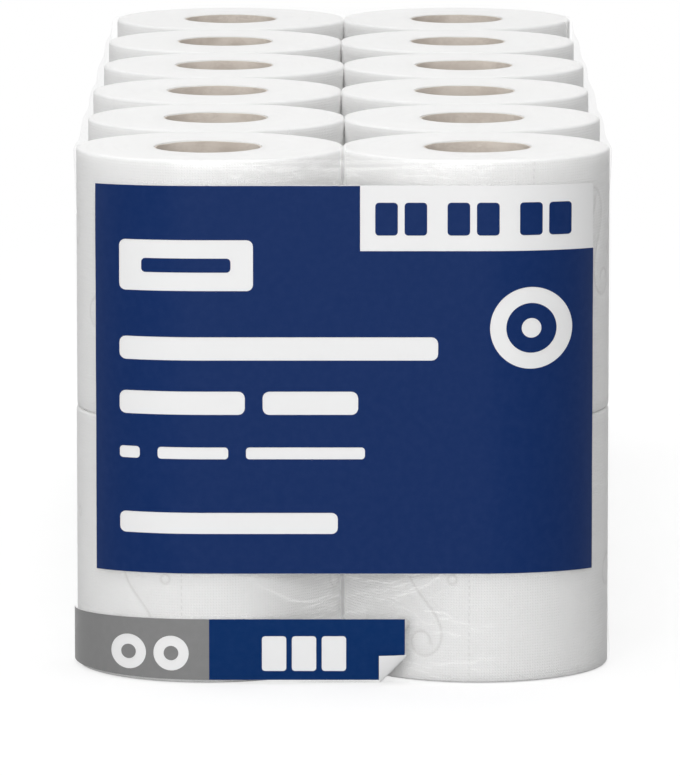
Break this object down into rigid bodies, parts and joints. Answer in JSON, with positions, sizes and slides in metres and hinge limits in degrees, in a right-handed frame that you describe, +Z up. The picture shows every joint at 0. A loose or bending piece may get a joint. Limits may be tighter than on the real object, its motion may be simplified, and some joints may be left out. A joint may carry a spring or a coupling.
{
  "type": "toilet paper roll pack",
  "caption": "Film-wrapped block of toilet paper rolls standing on end in two columns and two tiers, with a printed front label and a foot strip.",
  "frame": {"origin": "under the middle of the pack, on the surface that it stands on", "axes": "+Z up, +Y from the labelled front to the back along the six rows, +X to the right seen from the front"},
  "size_m": [0.21, 0.6222, 0.203],
  "materials": {
    "tissue_paper": "soft embossed white tissue, matt",
    "core_card": "spirally wound grey-brown card, matt",
    "clear_film": "thin clear polyethylene film, glossy, with welded seals",
    "label_white": "smooth white label stock, slightly glossy",
    "navy_print": "navy printing ink, satin",
    "blue_print": "deep blue printing ink, satin",
    "grey_print": "mid-grey printing ink, satin"
  },
  "bodies": {
    "root": {"roll_bottom_row1_left": "tissue_paper", "core_bottom_row1_left": "core_card", "roll_bottom_row1_right": "tissue_paper", "core_bottom_row1_right": "core_card", "roll_bottom_row2_left": "tissue_paper", "core_bottom_row2_left": "core_card", "roll_bottom_row2_right": "tissue_paper", "core_bottom_row2_right": "core_card", "roll_bottom_row3_left": "tissue_paper", "core_bottom_row3_left": "core_card", "roll_bottom_row3_right": "tissue_paper", "core_bottom_row3_right": "core_card", "roll_bottom_row4_left": "tissue_paper", "core_bottom_row4_left": "core_card", "roll_bottom_row4_right": "tissue_paper", "core_bottom_row4_right": "core_card", "roll_bottom_row5_left": "tissue_paper", "core_bottom_row5_left": "core_card", "roll_bottom_row5_right": "tissue_paper", "core_bottom_row5_right": "core_card", "roll_bottom_row6_left": "tissue_paper", "core_bottom_row6_left": "core_card", "roll_bottom_row6_right": "tissue_paper", "core_bottom_row6_right": "core_card", "roll_top_row1_left": "tissue_paper", "core_top_row1_left": "core_card", "roll_top_row1_right": "tissue_paper", "core_top_row1_right": "core_card", "roll_top_row2_left": "tissue_paper", "core_top_row2_left": "core_card", "roll_top_row2_right": "tissue_paper", "core_top_row2_right": "core_card", "roll_top_row3_left": "tissue_paper", "core_top_row3_left": "core_card", "roll_top_row3_right": "tissue_paper", "core_top_row3_right": "core_card", "roll_top_row4_left": "tissue_paper", "core_top_row4_left": "core_card", "roll_top_row4_right": "tissue_paper", "core_top_row4_right": "core_card", "roll_top_row5_left": "tissue_paper", "core_top_row5_left": "core_card", "roll_top_row5_right": "tissue_paper", "core_top_row5_right": "core_card", "roll_top_row6_left": "tissue_paper", "core_top_row6_left": "core_card", "roll_top_row6_right": "tissue_paper", "core_top_row6_right": "core_card", "film_wrap": "clear_film", "front_label": "label_white", "front_label_navy_print": "navy_print", "count_strip": "label_white", "count_strip_grey_print": "grey_print", "count_strip_blue_print": "blue_print"}
  },
  "joints": []
}
